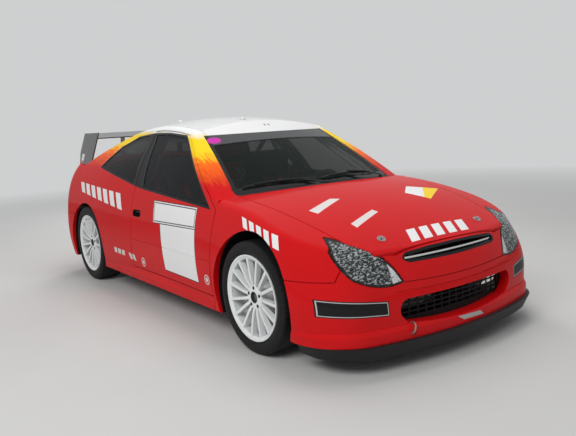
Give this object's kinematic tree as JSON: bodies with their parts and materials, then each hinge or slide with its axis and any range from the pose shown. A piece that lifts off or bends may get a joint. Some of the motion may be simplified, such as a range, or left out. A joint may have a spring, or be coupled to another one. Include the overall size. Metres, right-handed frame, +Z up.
{
  "type": "three-door hatchback rally car",
  "caption": "Low hatchback rally car with opening doors, bonnet and tailgate, steered and rolling wheels, roll cage, bucket seats, rear wing and front splitter.",
  "frame": {"origin": "on the ground, under the middle of the car's box", "axes": "+X forward, +Y to the car's left, +Z up"},
  "size_m": [4.167, 1.7704, 1.3319],
  "materials": {
    "paint_red": "gloss",
    "paint_white": "gloss",
    "window_glass": "clear",
    "lamp_clear": "clear",
    "lamp_red": "gloss",
    "black_plastic": "satin",
    "seal_rubber": "matte",
    "tyre_rubber": "matte",
    "rim_white": "gloss",
    "body_steel": "satin",
    "chassis_steel": "satin",
    "engine_cast": "rough",
    "seat_fabric": "woven",
    "wheel_leather": "satin"
  },
  "bodies": {
    "body": {"floor_pan": "body_steel", "firewall": "body_steel", "side_frame_left": "paint_red", "side_frame_right": "paint_red", "roof_panel": "paint_white", "front_bumper": "paint_red", "rear_bumper": "paint_red", "splitter": "black_plastic", "fender_left": "paint_red", "fender_right": "paint_red", "headlamps": "lamp_clear", "nose_plastics": "black_plastic", "tail_lamps": "lamp_red", "cowl": "black_plastic", "windscreen": "window_glass", "quarter_windows": "window_glass", "weather_seals": "seal_rubber", "arch_liners": "black_plastic", "inner_wings": "body_steel", "engine": "engine_cast", "front_suspension": "chassis_steel", "rear_axle": "chassis_steel", "exhaust": "chassis_steel", "roll_cage": "paint_white", "seats": "seat_fabric", "dashboard": "black_plastic", "steering_wheel": "wheel_leather"},
    "door_left": {"door_left": "paint_red", "door_glass_left": "window_glass"},
    "knuckle_left": {"knuckle_left": "chassis_steel"},
    "door_right": {"door_right": "paint_red", "door_glass_right": "window_glass"},
    "knuckle_right": {"knuckle_right": "chassis_steel"},
    "bonnet": {"bonnet": "paint_red"},
    "tailgate": {"tailgate": "paint_red", "rear_window": "window_glass", "rear_wing": "black_plastic"},
    "wheel_front_left": {"tyre_front_left": "tyre_rubber", "rim_front_left": "rim_white"},
    "wheel_front_right": {"tyre_front_right": "tyre_rubber", "rim_front_right": "rim_white"},
    "wheel_rear_left": {"tyre_rear_left": "tyre_rubber", "rim_rear_left": "rim_white"},
    "wheel_rear_right": {"tyre_rear_right": "tyre_rubber", "rim_rear_right": "rim_white"}
  },
  "joints": [
    {"name": "door_left_hinge", "type": "hinge", "parent": "body", "child": "door_left", "pos_m": [0.8615, 0.879, 0.5], "axis": [0, 0, -1], "range_deg": [0, 65]},
    {"name": "door_right_hinge", "type": "hinge", "parent": "body", "child": "door_right", "pos_m": [0.8615, -0.879, 0.5], "axis": [0, 0, 1], "range_deg": [0, 65]},
    {"name": "bonnet_hinge", "type": "hinge", "parent": "body", "child": "bonnet", "pos_m": [0.8835, 0, 0.838], "axis": [0, -1, 0], "range_deg": [0, 50]},
    {"name": "tailgate_hinge", "type": "hinge", "parent": "body", "child": "tailgate", "pos_m": [-0.9635, 0, 1.27], "axis": [0, 1, 0], "range_deg": [0, 60]},
    {"name": "steer_left", "type": "hinge", "parent": "body", "child": "knuckle_left", "pos_m": [1.2615, 0.678, 0.2], "axis": [0, -0.2281, 0.9736], "range_deg": [-25, 25]},
    {"name": "steer_right", "type": "hinge", "parent": "body", "child": "knuckle_right", "pos_m": [1.2615, -0.678, 0.2], "axis": [0, 0.2281, 0.9736], "range_deg": [-25, 25]},
    {"name": "wheel_front_left_spin", "type": "hinge", "parent": "knuckle_left", "child": "wheel_front_left", "pos_m": [1.2615, 0.762, 0.32], "axis": [0, 1, 0], "continuous": true},
    {"name": "wheel_front_right_spin", "type": "hinge", "parent": "knuckle_right", "child": "wheel_front_right", "pos_m": [1.2615, -0.762, 0.32], "axis": [0, 1, 0], "continuous": true},
    {"name": "wheel_rear_left_spin", "type": "hinge", "parent": "body", "child": "wheel_rear_left", "pos_m": [-1.2935, 0.762, 0.32], "axis": [0, 1, 0], "continuous": true},
    {"name": "wheel_rear_right_spin", "type": "hinge", "parent": "body", "child": "wheel_rear_right", "pos_m": [-1.2935, -0.762, 0.32], "axis": [0, 1, 0], "continuous": true}
  ],
  "couplings": [
    {"joint": "steer_right", "follows": "steer_left", "ratio": 1}
  ]
}
